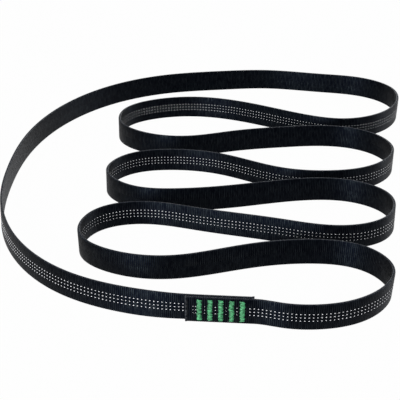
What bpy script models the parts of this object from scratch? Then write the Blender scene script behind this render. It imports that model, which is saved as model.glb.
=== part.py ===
"""Sewn climbing sling, 120 cm long when pulled flat, so about 2.4 m round.

One length of flat nylon webbing is lapped end over end and closed by five
bartacks. The loop stands on its lower edge and lies in a serpentine.
Run it with blender --background --python part.py, or from the text editor.
Lengths are metres, +Z is up, and the origin is under the middle of the lay.
"""

import math

import bmesh
import bpy
import numpy as np

MM = 0.001

# Webbing section
WEB_WIDTH = 18.0 * MM
WEB_THICKNESS = 1.8 * MM
SELVEDGE_RADIUS = 0.6 * MM
SELVEDGE_STEPS = 2

# Bartacks, each a block of zigzag stitches across the lap
TACK_COUNT = 5
TACK_WIDTH = 3.4 * MM
TACK_PITCH = 6.55 * MM
TACK_EDGE_MARGIN = 1.45 * MM
STITCH_PITCH = 1.6 * MM
THREAD_EDGE_RISE = 0.35 * MM
THREAD_CROWN_RISE = 0.95 * MM
THREAD_GROOVE_DEPTH = 0.3 * MM
THREAD_LEG = 0.7 * MM
CROWN_STEPS = 6

# Lap of the two webbing ends
FRONT_END_MARGIN = 6.8 * MM
BACK_END_MARGIN = 5.2 * MM
LAP_CENTRE_MM = (-1.5, -176.1)
LAP_BEARING = math.radians(-4.2)
CUT_END_SETBACK = 0.5 * MM
CUT_END_SHARE = 0.95

# Clearances between pieces that touch on the real sling
LAYER_GAP = 0.3 * MM
SEAT_GAP = 0.3 * MM
SLIT_CLEARANCE = 0.3 * MM
CUTTER_OVERRUN = 2.0 * MM

# Longest flat and widest turn between two stations along the webbing
STATION_RUN = 45.0 * MM
STATION_TURN = math.radians(12.0)
DENSE_STEP = 0.5 * MM

# Lay of the free webbing in plan, from the lap's left end round to its right end
LAY_MM = [
    (-60.0, -166.5), (-100.0, -148.0), (-133.5, -113.5), (-154.0, -64.0),
    (-158.5, -6.0), (-151.5, 54.0), (-129.5, 106.5), (-92.5, 147.5),
    (-44.0, 172.0), (8.0, 181.0), (48.0, 183.5), (98.0, 174.7),
    (138.3, 163.2), (157.7, 142.0), (158.0, 115.5), (139.5, 89.0),
    (107.0, 77.0), (73.0, 86.0), (30.0, 108.0), (-12.0, 121.0),
    (-50.0, 117.0), (-77.0, 97.5), (-79.5, 73.0), (-58.0, 51.0),
    (-22.0, 44.5), (12.0, 53.0), (56.0, 61.0), (96.0, 62.5),
    (126.0, 49.5), (138.0, 24.0), (121.5, -3.5), (84.0, -15.0),
    (48.0, -10.0), (4.0, 12.5), (-38.0, 20.5), (-72.0, 10.0),
    (-83.4, -12.0), (-65.0, -37.0), (-32.0, -43.0), (16.0, -36.8),
    (68.0, -27.0), (102.0, -31.5), (123.0, -52.0), (118.5, -78.5),
    (86.0, -94.0), (40.0, -85.0), (-14.0, -70.5), (-58.0, -61.5),
    (-88.0, -74.5), (-94.5, -101.5), (-68.0, -125.5), (-30.0, -130.5),
    (14.0, -119.0), (60.0, -112.0), (97.3, -122.8), (108.4, -144.0),
    (92.0, -172.2), (56.0, -184.3), (37.0, -182.8),
]

# Sizes that follow from those above
LAP_LENGTH = (TACK_COUNT - 1) * TACK_PITCH + TACK_WIDTH + FRONT_END_MARGIN + BACK_END_MARGIN
LAYER_PITCH = WEB_THICKNESS + LAYER_GAP
TACK_HEIGHT = WEB_WIDTH - 2 * TACK_EDGE_MARGIN
STITCH_COUNT = max(2, round(TACK_HEIGHT / STITCH_PITCH))
OUTER_FACE = LAYER_GAP / 2 + WEB_THICKNESS
THREAD_SEAT = OUTER_FACE + SEAT_GAP
LEG_TIP = LAYER_GAP / 2

WEBBING_BLACK = (0.012, 0.013, 0.016, 1.0)
TACK_GREEN = (0.065, 0.262, 0.125, 1.0)


def clear_scene():
    for old in list(bpy.data.objects):
        bpy.data.objects.remove(old, do_unlink=True)


def new_collection(name):
    made = bpy.data.collections.new(name)
    bpy.context.scene.collection.children.link(made)
    return made


def new_material(name, colour, roughness):
    made = bpy.data.materials.new(name)
    made.use_nodes = True
    shader = made.node_tree.nodes["Principled BSDF"]
    shader.inputs["Base Color"].default_value = colour
    shader.inputs["Roughness"].default_value = roughness
    shader.inputs["Metallic"].default_value = 0.0
    return made


def hide_guide(guide):
    guide.hide_render = True
    guide.display_type = "WIRE"


# Plan of the lay

def smooth_curve(points, start_direction, end_direction):
    """A curve through the points with continuous curvature and set end directions."""
    points = np.asarray(points, dtype=float)
    spans = np.linalg.norm(np.diff(points, axis=0), axis=1)
    slopes = np.diff(points, axis=0) / spans[:, None]
    count = len(points)
    system = np.eye(count)
    wanted = np.zeros((count, 2))
    wanted[0] = start_direction
    wanted[-1] = end_direction
    for i in range(1, count - 1):
        system[i, i - 1] = spans[i]
        system[i, i] = 2 * (spans[i - 1] + spans[i])
        system[i, i + 1] = spans[i - 1]
        wanted[i] = 3 * (spans[i] * slopes[i - 1] + spans[i - 1] * slopes[i])
    tangents = np.linalg.solve(system, wanted)
    samples = []
    for i, span in enumerate(spans):
        steps = max(2, int(span / DENSE_STEP))
        for k in range(steps):
            t = k / steps
            samples.append(
                (1 + 2 * t) * (1 - t) ** 2 * points[i]
                + t * (1 - t) ** 2 * span * tangents[i]
                + t * t * (3 - 2 * t) * points[i + 1]
                + t * t * (t - 1) * span * tangents[i + 1]
            )
    samples.append(points[-1])
    return np.array(samples)


def sparse_stations(samples):
    """Keep the samples that limit the run and the turn between neighbours."""
    steps = np.diff(samples, axis=0)
    lengths = np.linalg.norm(steps, axis=1)
    headings = np.unwrap(np.arctan2(steps[:, 1], steps[:, 0]))
    turns = np.abs(np.gradient(headings))
    effort = np.concatenate([[0.0], np.cumsum(lengths / STATION_RUN + turns / STATION_TURN)])
    wanted = np.linspace(0.0, effort[-1], math.ceil(effort[-1]) + 1)
    return np.stack([np.interp(wanted, effort, samples[:, axis]) for axis in (0, 1)], axis=1)


def plan_of_lay():
    """Stations of the webbing's centre line and the lap's centre, in plan."""
    along = np.array([math.cos(LAP_BEARING), math.sin(LAP_BEARING)])
    behind = np.array([-along[1], along[0]])
    lap_centre = np.array(LAP_CENTRE_MM) * MM
    half_lap = along * LAP_LENGTH / 2
    back_layer = behind * LAYER_PITCH / 2
    back_end = lap_centre + half_lap + back_layer
    back_start = lap_centre - half_lap + back_layer
    front_start = lap_centre + half_lap - back_layer
    front_end = lap_centre - half_lap - back_layer
    free = smooth_curve([back_start, *(np.array(LAY_MM) * MM), front_start], -along, -along)
    setback = along * CUT_END_SETBACK
    stations = np.vstack([
        [back_end, back_end - setback],
        sparse_stations(free),
        [front_end + setback, front_end],
    ])
    centre = (stations.min(axis=0) + stations.max(axis=0)) / 2
    return stations - centre, lap_centre - centre


def least_gap(stations):
    """Narrowest space between two runs of the webbing, leaving out the lap's two layers."""
    steps = np.linalg.norm(np.diff(stations, axis=0), axis=1)
    along = np.concatenate([[0.0], np.cumsum(steps)])
    places = np.arange(0.0, along[-1], WEB_THICKNESS)
    line = np.stack([np.interp(places, along, stations[:, axis]) for axis in (0, 1)], axis=1)
    spacing = np.linalg.norm(line[:, None] - line[None], axis=2)
    run_between = np.abs(places[:, None] - places[None])
    same_bend = run_between < 3 * WEB_WIDTH
    in_lap = run_between > along[-1] - 2 * LAP_LENGTH
    spacing[same_bend | in_lap] = np.inf
    return spacing.min() - WEB_THICKNESS


# Pieces

def section_outline(guides):
    """The webbing's cross-section, a flat band with round selvedges."""
    curve = bpy.data.curves.new("webbing_section", "CURVE")
    curve.dimensions = "2D"
    outline = []
    for corner in range(4):
        side_x = 1 if corner in (0, 3) else -1
        side_y = 1 if corner in (0, 1) else -1
        for step in range(SELVEDGE_STEPS + 1):
            angle = math.pi / 2 * (corner + step / SELVEDGE_STEPS)
            outline.append((
                side_x * (WEB_THICKNESS / 2 - SELVEDGE_RADIUS) + SELVEDGE_RADIUS * math.cos(angle),
                side_y * (WEB_WIDTH / 2 - SELVEDGE_RADIUS) + SELVEDGE_RADIUS * math.sin(angle),
            ))
    spline = curve.splines.new("POLY")
    spline.points.add(len(outline) - 1)
    for point, (x, y) in zip(spline.points, outline):
        point.co = (x, y, 0.0, 1.0)
    spline.use_cyclic_u = True
    section = bpy.data.objects.new("webbing_section", curve)
    guides.objects.link(section)
    hide_guide(section)
    return section


def swept_webbing(stations, section):
    """The section swept along the lay, as a mesh with welded caps."""
    curve = bpy.data.curves.new("webbing_path", "CURVE")
    curve.dimensions = "2D"
    curve.bevel_mode = "OBJECT"
    curve.bevel_object = section
    curve.use_fill_caps = True
    spline = curve.splines.new("POLY")
    spline.points.add(len(stations) - 1)
    for point, (x, y) in zip(spline.points, stations):
        point.co = (x, y, 0.0, 1.0)
    spline.points[0].radius = CUT_END_SHARE
    spline.points[-1].radius = CUT_END_SHARE
    path = bpy.data.objects.new("webbing_path", curve)
    path.location.z = WEB_WIDTH / 2
    bpy.context.scene.collection.objects.link(path)
    evaluated = path.evaluated_get(bpy.context.evaluated_depsgraph_get())
    mesh = bpy.data.meshes.new_from_object(evaluated)
    webbing = bpy.data.objects.new("webbing", mesh)
    webbing.matrix_world = path.matrix_world
    bpy.data.objects.remove(path, do_unlink=True)
    shell = bmesh.new()
    shell.from_mesh(mesh)
    bmesh.ops.remove_doubles(shell, verts=shell.verts, dist=LAYER_GAP / 100)
    bmesh.ops.recalc_face_normals(shell, faces=shell.faces)
    shell.to_mesh(mesh)
    shell.free()
    return webbing


def tack_row_frame(parts, lap_centre):
    """Empty at the middle of the row of bartacks: X along the lap, Y to the back, Z up."""
    off_centre = (FRONT_END_MARGIN - BACK_END_MARGIN) / 2
    frame = bpy.data.objects.new("tack_row_frame", None)
    frame.location = (
        lap_centre[0] + off_centre * math.cos(LAP_BEARING),
        lap_centre[1] + off_centre * math.sin(LAP_BEARING),
        WEB_WIDTH / 2,
    )
    frame.rotation_euler.z = LAP_BEARING
    parts.objects.link(frame)
    return frame


def tack_places():
    return [(i - (TACK_COUNT - 1) / 2) * TACK_PITCH for i in range(TACK_COUNT)]


def slit_cutters(guides, frame):
    """Two rows of needle holes for each bartack, each row run together into a slit."""
    width = THREAD_LEG + 2 * SLIT_CLEARANCE
    depth = 2 * (OUTER_FACE + CUTTER_OVERRUN)
    height = TACK_HEIGHT + 2 * SLIT_CLEARANCE
    offset = (TACK_WIDTH - THREAD_LEG) / 2
    for i, place in enumerate(tack_places()):
        for side in (-1, 1):
            bpy.ops.mesh.primitive_cube_add(size=1)
            cutter = bpy.context.active_object
            cutter.name = f"needle_slit_{i + 1}_{'left' if side < 0 else 'right'}"
            cutter.data.transform(cutter.matrix_world)
            for vertex in cutter.data.vertices:
                vertex.co.x *= width
                vertex.co.y *= depth
                vertex.co.z *= height
            for holder in list(cutter.users_collection):
                holder.objects.unlink(cutter)
            guides.objects.link(cutter)
            cutter.parent = frame
            cutter.location.x = place + side * offset
            hide_guide(cutter)


def thread_ring(height, groove):
    """Outline of one bartack's thread at one height, open side towards the lap."""
    half = TACK_WIDTH / 2
    ring = [
        (half - THREAD_LEG, -LEG_TIP),
        (half, -LEG_TIP),
    ]
    for step in range(CROWN_STEPS + 1):
        angle = math.pi * step / CROWN_STEPS
        rise = THREAD_EDGE_RISE + (THREAD_CROWN_RISE - THREAD_EDGE_RISE - groove) * math.sin(angle)
        ring.append((half * math.cos(angle), -THREAD_SEAT - rise))
    ring += [
        (-half, -LEG_TIP),
        (-half + THREAD_LEG, -LEG_TIP),
        (-half + THREAD_LEG, -THREAD_SEAT),
        (half - THREAD_LEG, -THREAD_SEAT),
    ]
    return [(x, y, height) for x, y in ring]


def thread_mesh():
    """A ridge of zigzag stitches with its two rows of legs, lofted up the bartack."""
    shell = bmesh.new()
    rings = []
    for step in range(2 * STITCH_COUNT + 1):
        height = TACK_HEIGHT * (step / (2 * STITCH_COUNT) - 1 / 2)
        groove = THREAD_GROOVE_DEPTH if step % 2 == 0 else 0.0
        rings.append([shell.verts.new(place) for place in thread_ring(height, groove)])
    for low, high in zip(rings, rings[1:]):
        for i in range(len(low)):
            j = (i + 1) % len(low)
            shell.faces.new((low[i], low[j], high[j], high[i]))
    shell.faces.new(rings[0])
    shell.faces.new(rings[-1])
    bmesh.ops.recalc_face_normals(shell, faces=shell.faces)
    mesh = bpy.data.meshes.new("bartack_thread")
    shell.to_mesh(mesh)
    shell.free()
    mesh.shade_smooth()
    mesh.set_sharp_from_angle(angle=math.radians(50))
    return mesh


def add_bartacks(parts, frame, material):
    """Needle threads lie on the front of the lap and bobbin threads on its back."""
    mesh = thread_mesh()
    mesh.materials.append(material)
    for i, place in enumerate(tack_places()):
        for thread, turn in (("needle", 0.0), ("bobbin", math.pi)):
            piece = bpy.data.objects.new(f"bartack_{i + 1}_{thread}_thread", mesh)
            piece.parent = frame
            piece.location.x = place
            piece.rotation_euler.z = turn
            parts.objects.link(piece)


def add_webbing(parts, guides, stations, frame, material):
    webbing = swept_webbing(stations, section_outline(guides))
    parts.objects.link(webbing)
    slits = bpy.data.collections.new("needle_slits")
    guides.children.link(slits)
    slit_cutters(slits, frame)
    cut = webbing.modifiers.new("needle_slits", "BOOLEAN")
    cut.operation = "DIFFERENCE"
    cut.operand_type = "COLLECTION"
    cut.collection = slits
    webbing.data.materials.clear()
    webbing.data.materials.append(material)
    webbing.data.shade_smooth()
    webbing.data.set_sharp_from_angle(angle=math.radians(40))


def build():
    clear_scene()
    parts = new_collection("climbing_sling")
    guides = new_collection("guides_and_cutters")
    stations, lap_centre = plan_of_lay()
    frame = tack_row_frame(parts, lap_centre)
    add_webbing(parts, guides, stations, frame, new_material("webbing", WEBBING_BLACK, 0.7))
    add_bartacks(parts, frame, new_material("bartack_thread", TACK_GREEN, 0.5))
    run = np.linalg.norm(np.diff(stations, axis=0), axis=1).sum()
    print(f"webbing {run:.3f} m cut length, {run - LAP_LENGTH:.3f} m round the sewn loop")
    print(f"{len(stations)} stations, least gap between runs {least_gap(stations) / MM:.1f} mm")


build()
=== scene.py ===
"""Looks of a sewn climbing sling of flat black webbing, standing on edge in a serpentine.

The webbing's ribs, its tracer floats and the bartacks' stitches are real geometry,
made by node trees. Sizes are metres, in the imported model's own frame.
"""

import math

import bpy
import numpy as np
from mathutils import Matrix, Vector


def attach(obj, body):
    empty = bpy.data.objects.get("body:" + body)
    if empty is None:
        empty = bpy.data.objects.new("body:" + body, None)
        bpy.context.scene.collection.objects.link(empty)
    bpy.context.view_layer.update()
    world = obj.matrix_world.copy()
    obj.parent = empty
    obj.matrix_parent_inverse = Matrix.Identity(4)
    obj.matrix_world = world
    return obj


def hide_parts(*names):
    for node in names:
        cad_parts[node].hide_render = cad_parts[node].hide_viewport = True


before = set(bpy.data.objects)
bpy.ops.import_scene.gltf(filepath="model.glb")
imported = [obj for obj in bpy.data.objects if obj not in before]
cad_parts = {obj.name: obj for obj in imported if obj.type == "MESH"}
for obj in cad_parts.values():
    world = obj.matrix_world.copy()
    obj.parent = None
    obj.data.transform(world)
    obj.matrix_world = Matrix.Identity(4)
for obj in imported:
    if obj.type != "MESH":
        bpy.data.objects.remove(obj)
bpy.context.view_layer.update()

MM = 0.001

# Webbing, as in the part's own source
WEB_WIDTH = 18.0 * MM
WEB_THICKNESS = 1.8 * MM
LAYER_GAP = 0.3 * MM
FRONT_END_MARGIN = 6.8 * MM
BACK_END_MARGIN = 5.2 * MM
LAP_CENTRE_MM = (-1.5, -176.1)
LAP_BEARING = math.radians(-4.2)
LAP_ALONG = np.array([math.cos(LAP_BEARING), math.sin(LAP_BEARING)])
LAP_BEHIND = np.array([-LAP_ALONG[1], LAP_ALONG[0]])
LAY_MM = [
    (-60.0, -166.5), (-100.0, -148.0), (-133.5, -113.5), (-154.0, -64.0),
    (-158.5, -6.0), (-151.5, 54.0), (-129.5, 106.5), (-92.5, 147.5),
    (-44.0, 172.0), (8.0, 181.0), (48.0, 183.5), (98.0, 174.7),
    (138.3, 163.2), (157.7, 142.0), (158.0, 115.5), (139.5, 89.0),
    (107.0, 77.0), (73.0, 86.0), (30.0, 108.0), (-12.0, 121.0),
    (-50.0, 117.0), (-77.0, 97.5), (-79.5, 73.0), (-58.0, 51.0),
    (-22.0, 44.5), (12.0, 53.0), (56.0, 61.0), (96.0, 62.5),
    (126.0, 49.5), (138.0, 24.0), (121.5, -3.5), (84.0, -15.0),
    (48.0, -10.0), (4.0, 12.5), (-38.0, 20.5), (-72.0, 10.0),
    (-83.4, -12.0), (-65.0, -37.0), (-32.0, -43.0), (16.0, -36.8),
    (68.0, -27.0), (102.0, -31.5), (123.0, -52.0), (118.5, -78.5),
    (86.0, -94.0), (40.0, -85.0), (-14.0, -70.5), (-58.0, -61.5),
    (-88.0, -74.5), (-94.5, -101.5), (-68.0, -125.5), (-30.0, -130.5),
    (14.0, -119.0), (60.0, -112.0), (97.3, -122.8), (108.4, -144.0),
    (92.0, -172.2), (56.0, -184.3), (37.0, -182.8),
]
DENSE_STEP = 0.5 * MM

# How far the upper edge leans to the left of travel, by distance from the back layer's cut end
LEAN_MM = [
    (0, 0.0), (42, 0.0), (65, -2.6), (100, -2.3), (170, -1.7), (240, -0.8), (340, 0.1), (440, 0.4),
    (510, 1.1), (565, 2.0), (610, 0.6), (660, 0.1), (725, 1.1), (760, 0.1), (800, -0.9), (905, -2.4),
    (950, -2.2), (990, -1.1), (1045, 0.4), (1100, 0.3), (1155, 1.0), (1200, 2.2), (1270, 1.6),
    (1300, 0.2), (1335, -1.0), (1540, -0.6), (1565, 0.4), (1600, 1.2), (1675, 2.3), (1730, 1.9),
    (1770, 0.7), (1795, 0.4), (1825, -1.1), (1905, -1.6), (1965, -0.9), (2010, -1.3), (2070, -0.2),
    (2150, 0.0), (2190, 1.8), (2240, 2.2), (2280, 1.9), (2305, 1.0), (2340, -0.4), (2380, 0.0),
    (2455, 0.0),
]
LEAN_BLEND = 12.0 * MM
LEAN_BLEND_SAMPLES = 7

# Ribs across the webbing, its rounded selvedges and its melted ends
RIB_PITCH = 1.28 * MM
RIB_HEIGHT = 0.07 * MM
STEPS_PER_RIB = 4
SELVEDGE_RADIUS = 0.5 * MM
SELVEDGE_STEPS = 2
MELTED_LENGTH = 1.3 * MM
MELTED_BEAD = 0.25 * MM
MELTED_FADE_POWER = 3.0
MID_HEIGHT = (WEB_WIDTH + RIB_HEIGHT) / 2

# Tracer floats, in three rows on the outer face
FLOAT_ROWS = 3
FLOAT_PITCH = 2 * RIB_PITCH
FLOAT_LENGTH = 1.0 * MM
FLOAT_HEIGHT = 0.6 * MM
FLOAT_RISE = 0.2 * MM
FLOAT_ROW_SPACING = 2.4 * MM
FLOAT_SEGMENTS = 8
FLOAT_RINGS = 5
LEAST_FLOAT_SIZE = 0.86
FLOAT_SEED = 3

# Bartacks
TACK_COUNT = 5
TACK_PITCH = 6.55 * MM
TACK_WIDTH = 3.4 * MM
TACK_HEIGHT = 15.1 * MM
PASS_PITCH = 0.5 * MM
THREAD_RADIUS = 0.27 * MM
STITCH_RISE = 0.42 * MM
STITCH_POINTS = 9
ARCH_POWER = 0.6
PASS_SPREAD_MM = 0.08
PASS_DRIFT_MM = 0.14
ZIGZAG_DEGREES = 9.0
ZIGZAG_SPREAD_DEGREES = 3.5
LEAST_PASS_SIZE = 0.9
STITCH_SEED = 11
PASS_SEED = 20
LAP_LENGTH = (TACK_COUNT - 1) * TACK_PITCH + TACK_WIDTH + FRONT_END_MARGIN + BACK_END_MARGIN
TACK_ROW_OFFSET = (FRONT_END_MARGIN - BACK_END_MARGIN) / 2

# Tracer columns near the lap: from the front layer's cut end to the nearest free one, from the last
# tack to the nearest free one, and from the first tack to the two between it and the cut end
FLOAT_PAST_END = 1.5 * MM
FLOAT_PAST_TACKS = 4.6 * MM
FLOATS_BEFORE_TACKS = (3.7 * MM, 2.1 * MM)

# Sizes of the floats between the tacks and of those two columns, as shares of a free float's
FLOAT_SHARES_BETWEEN = (0.55, 0.75, 0.5, 0.7)
FLOAT_SHARES_BEFORE = (0.55, 0.7)

# Webbing's finish: warp yarns, a streaked shine on the ribs with a painted highlight on their crowns and
# painted shade in their grooves, a painted highlight along both selvedges, and melted ends.
# A scale is a noise's cells to the metre, and a share is how much of a value it decides.
WEBBING_MAP = "webbing_map"
WARP_PITCH = 0.55 * MM
WARP_RELIEF = 0.03 * MM
WARP_BUMP = 0.12
FUZZ_SCALE = 5200.0
FUZZ_SHARE = 0.4
NYLON_GLOSS = 0.175
SHEEN_STRETCH = 0.95
SHEEN_TURN = 0.25
CROWN_ROUGHNESS = 0.4
GROOVE_ROUGHNESS = 0.52
CROWN_POWER = 1.5
STREAK_LENGTH = 5.0 * MM
STREAK_SHIFT = 7.3
STREAK_GAIN = 3.0
STREAK_SHARE = 0.8
# Patches that make the painted highlight on the rib crowns stronger in some places than in others
PATCH_SCALE = 30.0
PATCH_GAIN = 2.4
PATCH_SHARE = 0.6
# Width and streakiness of the painted highlight along the selvedges
EDGE_HIGHLIGHT_WIDTH = 0.5 * MM
EDGE_HIGHLIGHT_STREAK_SHARE = 0.5
MELT_SCALE = 700.0
MELT_GAIN = 3.0
GROOVE_GLOSS = (0.06, 0.1, 0.25, 1.0)
CROWN_GLOSS = (0.7, 0.9, 1.0, 1.0)
# Painted shade in the rib grooves and painted highlight on the rib crowns
NYLON_PAINTED_GROOVE_SHADE = (0.0, 0.0, 0.0, 1.0)
NYLON_PAINTED_CROWN_SHEEN = (0.0026, 0.0034, 0.0056, 1.0)
# Painted highlight along both selvedges, for the edge that catches the light
NYLON_PAINTED_EDGE_HIGHLIGHT = (0.0105, 0.0125, 0.017, 1.0)
MELTED_DARK = (0.004, 0.005, 0.007, 1.0)
MELTED_LIGHT = (0.05, 0.052, 0.056, 1.0)

# Tracer yarn's finish
TRACER_ROUGHNESS = 0.55
TRACER_WEAR_SCALE = 320.0
TRACER_BUMP_SCALE = 6000.0
TRACER_BUMP = 0.4
TRACER_RELIEF = 0.04 * MM
TRACER_WORN = (0.54, 0.55, 0.58, 1.0)
TRACER_WHITE = (0.9, 0.9, 0.92, 1.0)

# Thread's finish
THREAD_ROUGHNESS = 0.5
THREAD_LUMP_SCALE = 620.0
THREAD_LUMP_GAIN = 3.2
THREAD_SHADE_SHARE = 0.35
THREAD_TWIST_SCALE = 5000.0
THREAD_BUMP = 0.5
THREAD_RELIEF = 0.05 * MM
THREAD_DARK = (0.006, 0.085, 0.028, 1.0)
THREAD_LIGHT = (0.078, 0.425, 0.175, 1.0)

# Floor, and the surroundings' strength as light
WHITE = (1.0, 1.0, 1.0, 1.0)
FLOOR_SIZE = 12.0
FLOOR_ROUGHNESS = 0.9
FLOOR_GREY = (0.35, 0.35, 0.35, 1.0)
FLOOR_WHITE_SHARE = 0.985
WORLD_LEVEL = 0.18

# Lamps: name, place, width and height in metres, and power in watts
LAMPS = [
    ("soft_key", (-0.55, -1.2, 0.42), 0.22, 0.6, 20.0),
    ("soft_left", (-1.05, -0.88, 0.45), 0.4, 0.5, 3.5),
    ("soft_right", (1.32, 0.2, 0.5), 0.6, 0.5, 8.0),
    ("soft_back", (0.2, 1.2, 0.7), 0.6, 0.6, 8.0),
]

# Camera at the photograph's viewing angle
CAMERA_PLACE = Vector((-14.1, -639.9, 352.2)) * MM
CAMERA_PITCH = math.radians(60.1)
CAMERA_LENS = 85.0
CAMERA_SENSOR = 36.0
CAMERA_CLIP_START = 0.01


# Lay of the webbing

def smooth_curve(points, start_direction, end_direction):
    """A curve through the points with continuous curvature and set end directions."""
    points = np.asarray(points, dtype=float)
    spans = np.linalg.norm(np.diff(points, axis=0), axis=1)
    slopes = np.diff(points, axis=0) / spans[:, None]
    count = len(points)
    system = np.eye(count)
    wanted = np.zeros((count, 2))
    wanted[0] = start_direction
    wanted[-1] = end_direction
    for i in range(1, count - 1):
        system[i, i - 1] = spans[i]
        system[i, i] = 2 * (spans[i - 1] + spans[i])
        system[i, i + 1] = spans[i - 1]
        wanted[i] = 3 * (spans[i] * slopes[i - 1] + spans[i - 1] * slopes[i])
    tangents = np.linalg.solve(system, wanted)
    samples = []
    for i, span in enumerate(spans):
        steps = max(2, int(span / DENSE_STEP))
        for k in range(steps):
            t = k / steps
            samples.append(
                (1 + 2 * t) * (1 - t) ** 2 * points[i]
                + t * (1 - t) ** 2 * span * tangents[i]
                + t * t * (3 - 2 * t) * points[i + 1]
                + t * t * (t - 1) * span * tangents[i + 1]
            )
    samples.append(points[-1])
    return np.array(samples)


def lay_of_webbing():
    """Dense centre line in plan and the lap's centre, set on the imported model's middle."""
    lap_centre = np.array(LAP_CENTRE_MM) * MM
    half_lap = LAP_ALONG * LAP_LENGTH / 2
    back_layer = LAP_BEHIND * (WEB_THICKNESS + LAYER_GAP) / 2
    free = smooth_curve(
        [lap_centre - half_lap + back_layer, *(np.array(LAY_MM) * MM), lap_centre + half_lap - back_layer],
        -LAP_ALONG, -LAP_ALONG,
    )
    line = np.vstack([lap_centre + half_lap + back_layer, free, lap_centre - half_lap - back_layer])
    centre = (line.min(axis=0) + line.max(axis=0)) / 2
    return line - centre, lap_centre - centre


LINE, LAP_CENTRE = lay_of_webbing()
ALONG = np.concatenate([[0.0], np.cumsum(np.linalg.norm(np.diff(LINE, axis=0), axis=1))])
CUT_LENGTH = float(ALONG[-1])


def points_along(places):
    """Points of the centre line in plan, by distance along the webbing."""
    return np.stack([np.interp(places, ALONG, LINE[:, axis]) for axis in (0, 1)], axis=1)


def outward_along(places):
    """Heading and outer side, to the left of travel, as unit vectors in plan."""
    steps = points_along(places + DENSE_STEP) - points_along(places - DENSE_STEP)
    heading = steps / np.linalg.norm(steps, axis=1)[:, None]
    return heading, np.stack([-heading[:, 1], heading[:, 0]], axis=1)


def lean_along(places):
    """Angle by which the webbing leans to its outer side, blended between the listed places."""
    at, lean = np.array(LEAN_MM).T * MM
    nearby = np.linspace(-LEAN_BLEND, LEAN_BLEND, LEAN_BLEND_SAMPLES)
    blended = np.mean([np.interp(places + shift, at, lean) for shift in nearby], axis=0)
    return np.arcsin(blended / WEB_WIDTH)


def tack_places():
    """Middle of each bartack, as a distance along the lap from its middle."""
    return [TACK_ROW_OFFSET + (i - (TACK_COUNT - 1) / 2) * TACK_PITCH for i in range(TACK_COUNT)]


# Helpers for objects and node trees

def add_object(name, data):
    made = bpy.data.objects.new(name, data)
    bpy.context.scene.collection.objects.link(made)
    return made


def mesh_of(obj):
    """The object's shape as a new mesh, with its modifiers run."""
    evaluated = obj.evaluated_get(bpy.context.evaluated_depsgraph_get())
    return bpy.data.meshes.new_from_object(evaluated)


def new_tree(name, inputs):
    """A geometry tree with a geometry input, named inputs and a geometry output."""
    tree = bpy.data.node_groups.new(name, "GeometryNodeTree")
    tree.interface.new_socket("Geometry", in_out="INPUT", socket_type="NodeSocketGeometry")
    for label, kind in inputs:
        tree.interface.new_socket(label, in_out="INPUT", socket_type=kind)
    tree.interface.new_socket("Geometry", in_out="OUTPUT", socket_type="NodeSocketGeometry")
    return tree, tree.nodes.new("NodeGroupInput"), tree.nodes.new("NodeGroupOutput")


def put(tree, value, socket):
    """Join a socket to a socket, or set a plain value on it."""
    if isinstance(value, bpy.types.NodeSocket):
        tree.links.new(value, socket)
    else:
        socket.default_value = value


def maths(tree, operation, *values):
    node = tree.nodes.new("ShaderNodeMath")
    node.operation = operation
    for value, socket in zip(values, node.inputs):
        put(tree, value, socket)
    return node.outputs[0]


def keep_value(tree, geometry, name, value, data_type="FLOAT", domain="POINT"):
    """Store a value under a name that later nodes and the materials read."""
    node = tree.nodes.new("GeometryNodeStoreNamedAttribute")
    node.data_type = data_type
    node.domain = domain
    node.inputs["Name"].default_value = name
    put(tree, geometry, node.inputs["Geometry"])
    put(tree, value, node.inputs["Value"])
    return node.outputs[0]


def kept_value(tree, name, data_type="FLOAT"):
    node = tree.nodes.new("GeometryNodeInputNamedAttribute")
    node.data_type = data_type
    node.inputs["Name"].default_value = name
    return node.outputs[0]


def keep_map(tree, geometry):
    """A UV map with the distances along and across the webbing, for the direction of its sheen."""
    place = tree.nodes.new("ShaderNodeCombineXYZ")
    put(tree, kept_value(tree, "along"), place.inputs["X"])
    put(tree, kept_value(tree, "across"), place.inputs["Y"])
    return keep_value(tree, geometry, WEBBING_MAP, place.outputs[0], "FLOAT2", "CORNER")


def random_value(tree, seed, least, most):
    """A seeded number for each point, from the node's sockets for plain numbers."""
    node = tree.nodes.new("FunctionNodeRandomValue")
    put(tree, least, node.inputs[2])
    put(tree, most, node.inputs[3])
    put(tree, seed, node.inputs["Seed"])
    return node.outputs[1]


def end_tree(tree, geometry, given, out):
    """Realize the instances and give the result its material."""
    realize = tree.nodes.new("GeometryNodeRealizeInstances")
    put(tree, geometry, realize.inputs[0])
    finish = tree.nodes.new("GeometryNodeSetMaterial")
    put(tree, realize.outputs[0], finish.inputs["Geometry"])
    put(tree, given.outputs["Material"], finish.inputs["Material"])
    put(tree, finish.outputs[0], out.inputs[0])


def finished(obj, tree, values, name):
    """Run the tree on an object and keep the result as a plain mesh object at the origin."""
    modifier = obj.modifiers.new(name, "NODES")
    modifier.node_group = tree
    for item in tree.interface.items_tree:
        if item.in_out == "INPUT" and item.name in values:
            modifier[item.identifier] = values[item.name]
    mesh = mesh_of(obj)
    mesh.name = name
    made = add_object(name, mesh)
    bpy.data.objects.remove(obj, do_unlink=True)
    return made


# Materials

def shader_of(material):
    return material.node_tree.nodes["Principled BSDF"]


def new_material(name, roughness):
    made = bpy.data.materials.new(name)
    made.use_nodes = True
    shader_of(made).inputs["Roughness"].default_value = roughness
    return made


def attribute_of(tree, name):
    node = tree.nodes.new("ShaderNodeAttribute")
    node.attribute_name = name
    return node.outputs["Fac"]


def ramp_between(tree, factor, low, high):
    """Mix two colours, through the node's sockets for colours."""
    node = tree.nodes.new("ShaderNodeMix")
    node.data_type = "RGBA"
    put(tree, factor, node.inputs["Factor"])
    put(tree, low, node.inputs[6])
    put(tree, high, node.inputs[7])
    return node.outputs[2]


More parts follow.
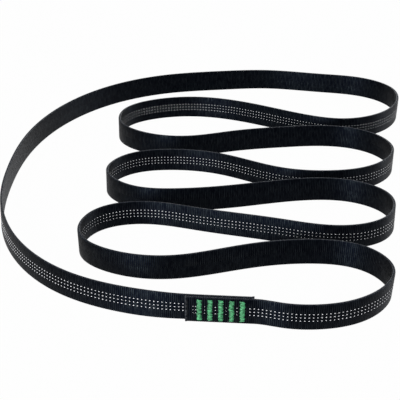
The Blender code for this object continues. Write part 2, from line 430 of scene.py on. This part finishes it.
def noise(tree, vector, scale, detail):
    node = tree.nodes.new("ShaderNodeTexNoise")
    node.inputs["Scale"].default_value = scale
    node.inputs["Detail"].default_value = detail
    put(tree, vector, node.inputs["Vector"])
    return node.outputs["Fac"]


def spread_out(tree, value, gain):
    """Stretch a noise about its middle and keep it between 0 and 1."""
    stretched = maths(tree, "MULTIPLY_ADD", maths(tree, "SUBTRACT", value, 0.5), gain, 0.5)
    stretched.node.use_clamp = True
    return stretched


def weighed(tree, value, share):
    """The value by its share, on top of what the share leaves of 1."""
    return maths(tree, "MULTIPLY_ADD", value, share, 1.0 - share)


def object_place(tree):
    return tree.nodes.new("ShaderNodeTexCoord").outputs["Object"]


def bumped(material, height, strength, distance):
    tree = material.node_tree
    node = tree.nodes.new("ShaderNodeBump")
    node.inputs["Strength"].default_value = strength
    node.inputs["Distance"].default_value = distance
    put(tree, height, node.inputs["Height"])
    tree.links.new(node.outputs["Normal"], shader_of(material).inputs["Normal"])


def black_nylon():
    """Shiny yarns along the webbing cross uneven ribs, with a painted highlight on the crowns and painted
    shade in the grooves; both selvedges carry a painted highlight, and the cut ends are melted.
    """
    made = new_material("black_nylon_webbing", CROWN_ROUGHNESS)
    tree = made.node_tree
    shader = shader_of(made)
    shader.inputs["Specular IOR Level"].default_value = NYLON_GLOSS
    shader.inputs["Anisotropic"].default_value = SHEEN_STRETCH
    shader.inputs["Anisotropic Rotation"].default_value = SHEEN_TURN
    lengthwise = tree.nodes.new("ShaderNodeTangent")
    lengthwise.direction_type = "UV_MAP"
    lengthwise.uv_map = WEBBING_MAP
    tree.links.new(lengthwise.outputs["Tangent"], shader.inputs["Tangent"])
    along = attribute_of(tree, "along")
    across = attribute_of(tree, "across")
    warp = maths(tree, "SINE", maths(tree, "MULTIPLY", across, 2 * math.pi / WARP_PITCH))
    fuzz = noise(tree, object_place(tree), FUZZ_SCALE, detail=3.0)
    bumped(made, maths(tree, "MULTIPLY_ADD", fuzz, FUZZ_SHARE, warp), WARP_BUMP, WARP_RELIEF)

    rib_number = maths(tree, "ROUND", maths(tree, "DIVIDE", along, RIB_PITCH))
    spot = tree.nodes.new("ShaderNodeCombineXYZ")
    put(tree, maths(tree, "MULTIPLY", rib_number, STREAK_SHIFT), spot.inputs["X"])
    put(tree, maths(tree, "DIVIDE", across, STREAK_LENGTH), spot.inputs["Y"])
    streak = spread_out(tree, noise(tree, spot.outputs[0], 1.0, detail=1.0), STREAK_GAIN)
    crown = maths(tree, "POWER", attribute_of(tree, "crown"), CROWN_POWER)
    shine = maths(tree, "MULTIPLY", crown, weighed(tree, streak, STREAK_SHARE))
    put(tree, maths(tree, "MULTIPLY_ADD", shine, CROWN_ROUGHNESS - GROOVE_ROUGHNESS, GROOVE_ROUGHNESS),
        shader.inputs["Roughness"])
    put(tree, ramp_between(tree, shine, GROOVE_GLOSS, CROWN_GLOSS), shader.inputs["Specular Tint"])

    # Base colour: the crowns are painted lighter as a highlight and the grooves black as shade, in patches
    patches = spread_out(tree, noise(tree, object_place(tree), PATCH_SCALE, detail=3.0), PATCH_GAIN)
    light = maths(tree, "MULTIPLY", shine, weighed(tree, patches, PATCH_SHARE))
    woven = ramp_between(tree, light, NYLON_PAINTED_GROOVE_SHADE, NYLON_PAINTED_CROWN_SHEEN)
    # Both selvedges are painted lighter near their edges: a painted highlight where the edge catches the
    # light
    from_edge = maths(tree, "SUBTRACT", WEB_WIDTH / 2, maths(tree, "ABSOLUTE", across))
    edge = spread_out(tree, maths(tree, "SUBTRACT", 1.0, maths(tree, "DIVIDE", from_edge, EDGE_HIGHLIGHT_WIDTH)), 1.0)
    painted_edge_highlight = maths(tree, "MULTIPLY", edge, weighed(tree, streak, EDGE_HIGHLIGHT_STREAK_SHARE))
    selvedged = ramp_between(tree, painted_edge_highlight, woven, NYLON_PAINTED_EDGE_HIGHLIGHT)
    melted = maths(tree, "SUBTRACT", 1.0, attribute_of(tree, "woven"))
    lumps = spread_out(tree, noise(tree, object_place(tree), MELT_SCALE, detail=2.0), MELT_GAIN)
    beaded = ramp_between(tree, lumps, MELTED_DARK, MELTED_LIGHT)
    colour = ramp_between(tree, melted, selvedged, beaded)
    tree.links.new(colour, shader.inputs["Base Color"])
    return made


def white_tracer():
    """White yarn, greyed here and there by wear."""
    made = new_material("white_tracer_yarn", TRACER_ROUGHNESS)
    tree = made.node_tree
    wear = noise(tree, object_place(tree), TRACER_WEAR_SCALE, detail=2.0)
    colour = ramp_between(tree, wear, TRACER_WORN, TRACER_WHITE)
    tree.links.new(colour, shader_of(made).inputs["Base Color"])
    bumps = noise(tree, object_place(tree), TRACER_BUMP_SCALE, detail=2.0)
    bumped(made, bumps, TRACER_BUMP, TRACER_RELIEF)
    return made


def green_thread():
    """Each pass has its own shade, and the thread's twist shows as fine bumps."""
    made = new_material("green_bartack_thread", THREAD_ROUGHNESS)
    tree = made.node_tree
    lumps = spread_out(tree, noise(tree, object_place(tree), THREAD_LUMP_SCALE, detail=2.0), THREAD_LUMP_GAIN)
    shade = maths(tree, "MULTIPLY", attribute_of(tree, "shade"), THREAD_SHADE_SHARE)
    mixed = maths(tree, "MULTIPLY_ADD", lumps, 1.0 - THREAD_SHADE_SHARE, shade)
    colour = ramp_between(tree, mixed, THREAD_DARK, THREAD_LIGHT)
    tree.links.new(colour, shader_of(made).inputs["Base Color"])
    twist = noise(tree, object_place(tree), THREAD_TWIST_SCALE, detail=2.0)
    bumped(made, twist, THREAD_BUMP, THREAD_RELIEF)
    return made


NYLON = black_nylon()
TRACER = white_tracer()
THREAD = green_thread()


# Webbing

def line_object(name, places):
    """The centre line at mid-height as a poly curve, tilted by the lean, for the webbing's tree."""
    curve = bpy.data.curves.new(name, "CURVE")
    curve.dimensions = "3D"
    spline = curve.splines.new("POLY")
    points = points_along(places)
    spline.points.add(len(points) - 1)
    for point, (x, y), lean in zip(spline.points, points, lean_along(places)):
        point.co = (x, y, MID_HEIGHT, 1.0)
        point.tilt = -lean
    return add_object(name, curve)


def webbing_tree():
    """Sweep a rounded band along the line, raise each rib and press the lower edge flat on the floor."""
    tree, given, out = new_tree("ribbed_webbing", [
        ("Rib Pitch", "NodeSocketFloat"), ("Rib Height", "NodeSocketFloat"),
        ("Width", "NodeSocketFloat"), ("Thickness", "NodeSocketFloat"),
        ("Selvedge Radius", "NodeSocketFloat"), ("Melted Length", "NodeSocketFloat"),
        ("Melted Bead", "NodeSocketFloat"), ("Material", "NodeSocketMaterial"),
    ])
    resample = tree.nodes.new("GeometryNodeResampleCurve")
    resample.mode = "LENGTH"
    put(tree, given.outputs["Geometry"], resample.inputs["Curve"])
    step_length = maths(tree, "MULTIPLY", given.outputs["Rib Pitch"], 1 / STEPS_PER_RIB)
    put(tree, step_length, resample.inputs["Length"])
    upright = tree.nodes.new("GeometryNodeSetCurveNormal")
    upright.mode = "Z_UP"
    put(tree, resample.outputs[0], upright.inputs["Curve"])
    place = tree.nodes.new("GeometryNodeSplineParameter").outputs["Length"]
    whole = tree.nodes.new("GeometryNodeSplineLength").outputs["Length"]
    step = tree.nodes.new("GeometryNodeInputIndex").outputs[0]
    phase = maths(tree, "MULTIPLY", step, 2 * math.pi / STEPS_PER_RIB)
    crown = maths(tree, "MULTIPLY_ADD", maths(tree, "COSINE", phase), 0.5, 0.5)
    from_end = maths(tree, "MINIMUM", place, maths(tree, "SUBTRACT", whole, place))
    share = maths(tree, "DIVIDE", from_end, given.outputs["Melted Length"])
    woven = maths(tree, "POWER", maths(tree, "MINIMUM", share, 1.0), MELTED_FADE_POWER)
    line = keep_value(tree, upright.outputs[0], "along", place)
    line = keep_value(tree, line, "crown", crown)
    line = keep_value(tree, line, "woven", woven)
    band = tree.nodes.new("GeometryNodeCurvePrimitiveQuadrilateral")
    put(tree, given.outputs["Thickness"], band.inputs["Width"])
    put(tree, given.outputs["Width"], band.inputs["Height"])
    split = tree.nodes.new("GeometryNodeSubdivideCurve")
    put(tree, band.outputs[0], split.inputs["Curve"])
    split.inputs["Cuts"].default_value = 1
    rounded = tree.nodes.new("GeometryNodeFilletCurve")
    rounded.mode = "POLY"
    put(tree, split.outputs[0], rounded.inputs["Curve"])
    rounded.inputs["Count"].default_value = SELVEDGE_STEPS
    put(tree, given.outputs["Selvedge Radius"], rounded.inputs["Radius"])
    height = tree.nodes.new("ShaderNodeSeparateXYZ")
    put(tree, tree.nodes.new("GeometryNodeInputPosition").outputs[0], height.inputs[0])
    section = keep_value(tree, rounded.outputs[0], "across", height.outputs["Y"])
    sweep = tree.nodes.new("GeometryNodeCurveToMesh")
    put(tree, line, sweep.inputs["Curve"])
    put(tree, section, sweep.inputs["Profile Curve"])
    sweep.inputs["Fill Caps"].default_value = True
    woven_share = kept_value(tree, "woven")
    rib = maths(tree, "SUBTRACT", kept_value(tree, "crown"), 0.5)
    rib = maths(tree, "MULTIPLY", maths(tree, "MULTIPLY", rib, given.outputs["Rib Height"]), woven_share)
    melted = maths(tree, "SUBTRACT", 1.0, woven_share)
    lift = maths(tree, "MULTIPLY_ADD", melted, given.outputs["Melted Bead"], rib)
    push = tree.nodes.new("ShaderNodeVectorMath")
    push.operation = "SCALE"
    put(tree, tree.nodes.new("GeometryNodeInputNormal").outputs[0], push.inputs[0])
    put(tree, lift, push.inputs["Scale"])
    ribs = tree.nodes.new("GeometryNodeSetPosition")
    put(tree, sweep.outputs[0], ribs.inputs["Geometry"])
    put(tree, push.outputs[0], ribs.inputs["Offset"])
    reached = tree.nodes.new("ShaderNodeSeparateXYZ")
    put(tree, tree.nodes.new("GeometryNodeInputPosition").outputs[0], reached.inputs[0])
    pressed = tree.nodes.new("ShaderNodeCombineXYZ")
    put(tree, reached.outputs["X"], pressed.inputs["X"])
    put(tree, reached.outputs["Y"], pressed.inputs["Y"])
    put(tree, maths(tree, "MAXIMUM", reached.outputs["Z"], 0.0), pressed.inputs["Z"])
    standing = tree.nodes.new("GeometryNodeSetPosition")
    put(tree, ribs.outputs[0], standing.inputs["Geometry"])
    put(tree, pressed.outputs[0], standing.inputs["Position"])
    smooth = tree.nodes.new("GeometryNodeSetShadeSmooth")
    put(tree, keep_map(tree, standing.outputs[0]), smooth.inputs[0])
    end_tree(tree, smooth.outputs[0], given, out)
    return tree


def make_webbing():
    line = line_object("webbing_line", np.linspace(0.0, CUT_LENGTH, int(CUT_LENGTH / DENSE_STEP)))
    return finished(line, webbing_tree(), {
        "Rib Pitch": RIB_PITCH, "Rib Height": RIB_HEIGHT, "Width": WEB_WIDTH,
        "Thickness": WEB_THICKNESS, "Selvedge Radius": SELVEDGE_RADIUS,
        "Melted Length": MELTED_LENGTH, "Melted Bead": MELTED_BEAD, "Material": NYLON,
    }, "black_webbing")


# Tracer floats

def float_mesh():
    """One yarn float: a small pill, flat on its back."""
    bpy.ops.mesh.primitive_uv_sphere_add(segments=FLOAT_SEGMENTS, ring_count=FLOAT_RINGS, radius=1)
    pill = bpy.context.active_object
    pill.name = "tracer_float"
    for vertex in pill.data.vertices:
        vertex.co.x *= FLOAT_LENGTH / 2
        vertex.co.y *= FLOAT_HEIGHT / 2
        vertex.co.z *= FLOAT_RISE
    pill.data.shade_smooth()
    return pill


def float_columns():
    """Where the columns of floats lie along the webbing, and their sizes; the tacks pull some in."""
    lap_middle = CUT_LENGTH - LAP_LENGTH / 2
    tacks = tack_places()
    first = LAP_LENGTH + FLOAT_PAST_END
    last = lap_middle - tacks[-1] - FLOAT_PAST_TACKS
    free = np.linspace(first, last, round((last - first) / FLOAT_PITCH) + 1)
    between = [lap_middle - (left + right) / 2 for left, right in zip(tacks, tacks[1:])]
    before = [lap_middle - tacks[0] + distance for distance in FLOATS_BEFORE_TACKS]
    sizes = [*np.ones(len(free)), *FLOAT_SHARES_BETWEEN, *FLOAT_SHARES_BEFORE]
    return np.array([*free, *between, *before]), sizes


def points_object(name, rows, turns, sizes):
    """Loose vertices, each with the turn and the size of the piece that is put on it."""
    mesh = bpy.data.meshes.new(name)
    mesh.from_pydata(rows, [], [])
    turn = mesh.attributes.new("turn", "FLOAT_VECTOR", "POINT")
    turn.data.foreach_set("vector", np.array(turns, dtype=np.float32).ravel())
    size = mesh.attributes.new("size", "FLOAT", "POINT")
    size.data.foreach_set("value", np.array(sizes, dtype=np.float32))
    return add_object(name, mesh)


def float_points():
    """A loose vertex for each float, with its heading and lean, on the outer face."""
    columns, sizes = float_columns()
    heading, outward = outward_along(columns)
    rows = []
    turns = []
    places = zip(points_along(columns), outward, heading, lean_along(columns))
    for middle, side, (hx, hy), lean in places:
        for row in range(FLOAT_ROWS):
            up = (row - (FLOAT_ROWS - 1) / 2) * FLOAT_ROW_SPACING
            out = WEB_THICKNESS / 2 * math.cos(lean) + up * math.sin(lean)
            height = MID_HEIGHT + up * math.cos(lean) - WEB_THICKNESS / 2 * math.sin(lean)
            rows.append((middle[0] + side[0] * out, middle[1] + side[1] * out, height))
            turns.append((math.pi / 2 - lean, 0.0, math.atan2(hy, hx)))
    return points_object("float_points", rows, turns, np.repeat(sizes, FLOAT_ROWS))


def placing_tree():
    """Put a piece on each point by the point's own turn, with a seeded shade and size."""
    tree, given, out = new_tree("placed_pieces", [
        ("Piece", "NodeSocketObject"), ("Material", "NodeSocketMaterial"),
        ("Least Size", "NodeSocketFloat"), ("Seed", "NodeSocketInt"),
    ])
    piece = tree.nodes.new("GeometryNodeObjectInfo")
    put(tree, given.outputs["Piece"], piece.inputs["Object"])
    size = random_value(tree, given.outputs["Seed"], given.outputs["Least Size"], 1.0)
    shade = random_value(tree, maths(tree, "ADD", given.outputs["Seed"], 1.0), 0.0, 1.0)
    place = tree.nodes.new("GeometryNodeInstanceOnPoints")
    put(tree, given.outputs["Geometry"], place.inputs["Points"])
    put(tree, piece.outputs["Geometry"], place.inputs["Instance"])
    put(tree, kept_value(tree, "turn", "FLOAT_VECTOR"), place.inputs["Rotation"])
    put(tree, maths(tree, "MULTIPLY", size, kept_value(tree, "size")), place.inputs["Scale"])
    shaded = keep_value(tree, place.outputs[0], "shade", shade, domain="INSTANCE")
    end_tree(tree, shaded, given, out)
    return tree


PLACING = placing_tree()


def make_floats():
    pill = float_mesh()
    made = finished(float_points(), PLACING, {
        "Piece": pill, "Material": TRACER, "Least Size": LEAST_FLOAT_SIZE, "Seed": FLOAT_SEED,
    }, "tracer_floats")
    bpy.data.objects.remove(pill, do_unlink=True)
    return made


# Bartacks

def stitch_arch():
    """One pass of thread over the tack, bowed up from one needle hole to the other."""
    curve = bpy.data.curves.new("stitch", "CURVE")
    curve.dimensions = "3D"
    curve.bevel_depth = THREAD_RADIUS
    curve.bevel_resolution = 1
    curve.use_fill_caps = True
    spline = curve.splines.new("POLY")
    spline.points.add(STITCH_POINTS - 1)
    for i, point in enumerate(spline.points):
        angle = math.pi * i / (STITCH_POINTS - 1)
        x = -math.cos(angle) * (TACK_WIDTH / 2 - THREAD_RADIUS)
        lift = STITCH_RISE * math.sin(angle) ** ARCH_POWER - THREAD_RADIUS
        point.co = (x, 0.0, lift, 1.0)
    path = add_object("stitch", curve)
    mesh = mesh_of(path)
    mesh.shade_smooth()
    bpy.data.objects.remove(path, do_unlink=True)
    return add_object("stitch", mesh)


def tack_points(index, side, rng):
    """Zigzag passes up one bartack, on the lap's front for side -1 and its back for side 1."""
    centre = LAP_CENTRE + LAP_ALONG * tack_places()[index]
    face = centre + side * LAP_BEHIND * (WEB_THICKNESS + LAYER_GAP / 2)
    heading = LAP_BEARING + (math.pi if side > 0 else 0.0)
    passes = int(TACK_HEIGHT / PASS_PITCH)
    rows = []
    turns = []
    for k in range(passes):
        height = MID_HEIGHT + (k + 0.5 - passes / 2) * PASS_PITCH + rng.normal(0.0, PASS_SPREAD_MM) * MM
        drift = LAP_ALONG * rng.normal(0.0, PASS_DRIFT_MM) * MM
        zigzag = math.radians(ZIGZAG_DEGREES if k % 2 else -ZIGZAG_DEGREES)
        tilt = zigzag + math.radians(rng.normal(0.0, ZIGZAG_SPREAD_DEGREES))
        rows.append((face[0] + drift[0], face[1] + drift[1], height))
        turns.append((math.pi / 2, tilt, heading))
    return points_object("tack_points", rows, turns, np.ones(passes))


def make_bartacks():
    """Two threads for each tack; a tack takes two seeds, for its passes' sizes and shades."""
    rng = np.random.default_rng(STITCH_SEED)
    stitch = stitch_arch()
    made = []
    for index in range(TACK_COUNT):
        for kind, side in (("needle", -1), ("bobbin", 1)):
            piece = finished(tack_points(index, side, rng), PLACING, {
                "Piece": stitch, "Material": THREAD,
                "Least Size": LEAST_PASS_SIZE, "Seed": PASS_SEED + 2 * index,
            }, f"green_{kind}_stitches_{index + 1}")
            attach(piece, "root")
            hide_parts(f"bartack_{index + 1}_{kind}_thread")
            made.append(piece)
    bpy.data.objects.remove(stitch, do_unlink=True)
    return made


# Stage, light and camera

def sees_background(tree):
    """1 for the rays that show the white background: the camera's, and those off gloss or through glass."""
    path = tree.nodes.new("ShaderNodeLightPath")
    direct = maths(tree, "MAXIMUM", path.outputs["Is Camera Ray"], path.outputs["Is Glossy Ray"])
    return maths(tree, "MAXIMUM", direct, path.outputs["Is Transmission Ray"])


def make_floor():
    """A grey floor for the light that it gives back, and white to the rays that see the background."""
    bpy.ops.mesh.primitive_plane_add(size=FLOOR_SIZE)
    floor = bpy.context.active_object
    floor.name = "floor"
    material = new_material("pale_floor", FLOOR_ROUGHNESS)
    tree = material.node_tree
    shader = shader_of(material)
    shader.inputs["Base Color"].default_value = FLOOR_GREY
    shader.inputs["Specular IOR Level"].default_value = 0.0
    white = tree.nodes.new("ShaderNodeEmission")
    white.inputs["Color"].default_value = WHITE
    white.inputs["Strength"].default_value = 1.0
    blend = tree.nodes.new("ShaderNodeMixShader")
    put(tree, maths(tree, "MULTIPLY", sees_background(tree), FLOOR_WHITE_SHARE), blend.inputs[0])
    tree.links.new(shader.outputs[0], blend.inputs[1])
    tree.links.new(white.outputs[0], blend.inputs[2])
    tree.links.new(blend.outputs[0], tree.nodes["Material Output"].inputs["Surface"])
    floor.data.materials.append(material)


def make_light(name, place, width, height, power):
    """A soft lamp that points at the origin, under the model's middle."""
    lamp = bpy.data.lights.new(name, "AREA")
    lamp.shape = "RECTANGLE"
    lamp.size = width
    lamp.size_y = height
    lamp.energy = power
    made = add_object(name, lamp)
    made.location = place
    made.rotation_euler = (-Vector(place)).to_track_quat("-Z", "Y").to_euler()


def make_world():
    """Even white surroundings, dimmed as light, at full white to the rays that see the background."""
    world = bpy.data.worlds.new("studio")
    world.use_nodes = True
    tree = world.node_tree
    white = tree.nodes["Background"]
    white.inputs["Color"].default_value = WHITE
    seen = sees_background(tree)
    put(tree, maths(tree, "MULTIPLY_ADD", seen, 1.0 - WORLD_LEVEL, WORLD_LEVEL), white.inputs["Strength"])
    bpy.context.scene.world = world


def make_camera():
    data = bpy.data.cameras.new("camera")
    data.lens = CAMERA_LENS
    data.sensor_width = CAMERA_SENSOR
    data.clip_start = CAMERA_CLIP_START
    camera = add_object("camera", data)
    camera.location = CAMERA_PLACE
    camera.rotation_euler = (CAMERA_PITCH, 0.0, 0.0)
    bpy.context.scene.camera = camera


make_floor()
make_world()
for lamp in LAMPS:
    make_light(*lamp)
make_camera()

webbing = make_webbing()
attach(webbing, "root")
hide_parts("webbing")

tracers = make_floats()
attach(tracers, "root")

bartacks = make_bartacks()

bpy.context.scene.view_settings.view_transform = "Standard"
